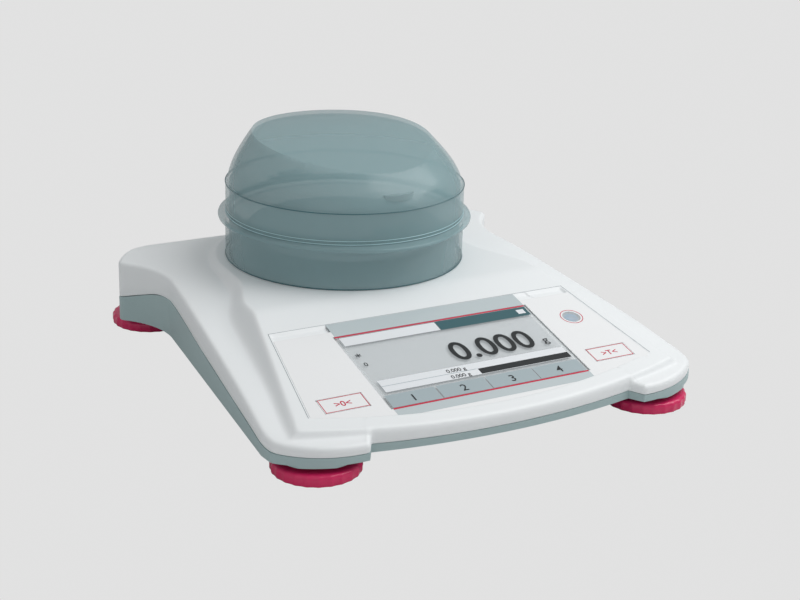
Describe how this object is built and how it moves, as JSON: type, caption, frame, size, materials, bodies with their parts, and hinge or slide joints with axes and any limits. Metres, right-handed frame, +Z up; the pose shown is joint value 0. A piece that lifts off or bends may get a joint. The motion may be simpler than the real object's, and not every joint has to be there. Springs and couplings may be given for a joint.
{
  "type": "portable balance",
  "caption": "Portable laboratory balance with a sloping touch screen, a steel pan under a round hinged draft shield, and four screw feet with thumbwheels.",
  "frame": {"origin": "bottom centre of the whole balance, on the bench", "axes": "+X to the user's right, +Y from the screen to the rear, +Z up"},
  "size_m": [0.2044, 0.222, 0.1004],
  "materials": {
    "white_shell": "satin",
    "grey_shell": "satin",
    "printed_film": "gloss",
    "screen_glass": "gloss",
    "screen_module": "satin",
    "circuit_board": "satin",
    "switch_black": "matte",
    "clear_vial": "gloss",
    "level_liquid": "gloss",
    "cell_aluminium": "satin",
    "screw_steel": "satin",
    "black_rubber": "matte",
    "pan_steel": "satin",
    "smoky_shield": "gloss",
    "battery_jacket": "gloss",
    "red_plastic": "gloss"
  },
  "bodies": {
    "case": {"upper_housing": "white_shell", "lower_housing": "grey_shell", "control_overlay": "printed_film", "display_window": "screen_glass", "display_module": "screen_module", "display_board": "circuit_board", "key_boards": "circuit_board", "key_switches": "switch_black", "level_vial": "clear_vial", "level_liquid": "level_liquid", "level_lens": "clear_vial", "main_board": "circuit_board", "load_cell": "cell_aluminium", "load_cell_screws": "screw_steel", "pan_carrier": "cell_aluminium", "pan_support": "cell_aluminium", "pan_bumpers": "black_rubber", "batteries": "battery_jacket", "battery_contacts": "screw_steel", "weigh_below_hook": "screw_steel", "dc_socket": "switch_black", "usb_port": "screw_steel", "housing_screws": "screw_steel", "board_screws": "screw_steel"},
    "pan": {"weighing_pan": "pan_steel"},
    "shield_ring": {"draft_shield_ring": "smoky_shield", "lid_hinge_pin": "screw_steel"},
    "shield_lid": {"draft_shield_lid": "smoky_shield"},
    "zero_button": {"zero_key": "printed_film"},
    "tare_button": {"tare_key": "printed_film"},
    "cover": {"battery_cover": "grey_shell"},
    "lock": {"transport_lock": "red_plastic"},
    "hook_plug": {"hook_cover": "grey_shell"},
    "slider": {"calibration_switch": "switch_black"},
    "foot_front_left": {"sole_front_left": "black_rubber"},
    "thumbwheel_front_left": {"wheel_front_left": "red_plastic", "stud_front_left": "screw_steel"},
    "foot_front_right": {"sole_front_right": "black_rubber"},
    "thumbwheel_front_right": {"wheel_front_right": "red_plastic", "stud_front_right": "screw_steel"},
    "foot_rear_left": {"sole_rear_left": "black_rubber"},
    "thumbwheel_rear_left": {"wheel_rear_left": "red_plastic", "stud_rear_left": "screw_steel"},
    "foot_rear_right": {"sole_rear_right": "black_rubber"},
    "thumbwheel_rear_right": {"wheel_rear_right": "red_plastic", "stud_rear_right": "screw_steel"}
  },
  "joints": [
    {"name": "shield_lift", "type": "slide", "parent": "case", "child": "shield_ring", "axis": [0, 0, 1], "range_m": [0, 0.03]},
    {"name": "lid_hinge", "type": "hinge", "parent": "shield_ring", "child": "shield_lid", "pos_m": [0, 0.1038, 0.0618], "axis": [-1, 0, 0], "range_deg": [0, 100]},
    {"name": "pan_lift", "type": "slide", "parent": "case", "child": "pan", "axis": [0, 0, 1], "range_m": [0, 0.012]},
    {"name": "zero_press", "type": "slide", "parent": "case", "child": "zero_button", "axis": [0, 0.2284, -0.9736], "range_m": [0, 0.0004], "stiffness_N_per_m": 3000, "springref_m": -0.0003},
    {"name": "tare_press", "type": "slide", "parent": "case", "child": "tare_button", "axis": [0, 0.2284, -0.9736], "range_m": [0, 0.0004], "stiffness_N_per_m": 3000, "springref_m": -0.0003},
    {"name": "battery_cover_slide", "type": "slide", "parent": "case", "child": "cover", "axis": [0, -1, 0], "range_m": [0, 0.006]},
    {"name": "transport_lock_turn", "type": "hinge", "parent": "case", "child": "lock", "pos_m": [-0.028, 0.064, 0.012], "axis": [0, 0, -1], "range_deg": [0, 90]},
    {"name": "hook_cover_pull", "type": "slide", "parent": "case", "child": "hook_plug", "axis": [0, 0, -1], "range_m": [0, 0.006]},
    {"name": "calibration_slide", "type": "slide", "parent": "case", "child": "slider", "axis": [1, 0, 0], "range_m": [0, 0.003]},
    {"name": "foot_height_front_left", "type": "slide", "parent": "case", "child": "foot_front_left", "axis": [0, 0, 1], "range_m": [-0.0041, 0.0016]},
    {"name": "thumbwheel_turn_front_left", "type": "hinge", "parent": "foot_front_left", "child": "thumbwheel_front_left", "pos_m": [-0.0802, -0.0918, 0.004], "axis": [0, 0, 1], "range_deg": [-1440, 540]},
    {"name": "foot_height_front_right", "type": "slide", "parent": "case", "child": "foot_front_right", "axis": [0, 0, 1], "range_m": [-0.0041, 0.0016]},
    {"name": "thumbwheel_turn_front_right", "type": "hinge", "parent": "foot_front_right", "child": "thumbwheel_front_right", "pos_m": [0.0802, -0.0918, 0.004], "axis": [0, 0, 1], "range_deg": [-1440, 540]},
    {"name": "foot_height_rear_left", "type": "slide", "parent": "case", "child": "foot_rear_left", "axis": [0, 0, 1], "range_m": [-0.0041, 0.0016]},
    {"name": "thumbwheel_turn_rear_left", "type": "hinge", "parent": "foot_rear_left", "child": "thumbwheel_rear_left", "pos_m": [-0.0802, 0.0914, 0.004], "axis": [0, 0, 1], "range_deg": [-1440, 540]},
    {"name": "foot_height_rear_right", "type": "slide", "parent": "case", "child": "foot_rear_right", "axis": [0, 0, 1], "range_m": [-0.0041, 0.0016]},
    {"name": "thumbwheel_turn_rear_right", "type": "hinge", "parent": "foot_rear_right", "child": "thumbwheel_rear_right", "pos_m": [0.0802, 0.0914, 0.004], "axis": [0, 0, 1], "range_deg": [-1440, 540]}
  ],
  "couplings": [
    {"joint": "foot_height_front_left", "follows": "thumbwheel_turn_front_left", "m_per_rad": 0.00015915},
    {"joint": "foot_height_front_right", "follows": "thumbwheel_turn_front_right", "m_per_rad": 0.00015915},
    {"joint": "foot_height_rear_left", "follows": "thumbwheel_turn_rear_left", "m_per_rad": 0.00015915},
    {"joint": "foot_height_rear_right", "follows": "thumbwheel_turn_rear_right", "m_per_rad": 0.00015915}
  ]
}
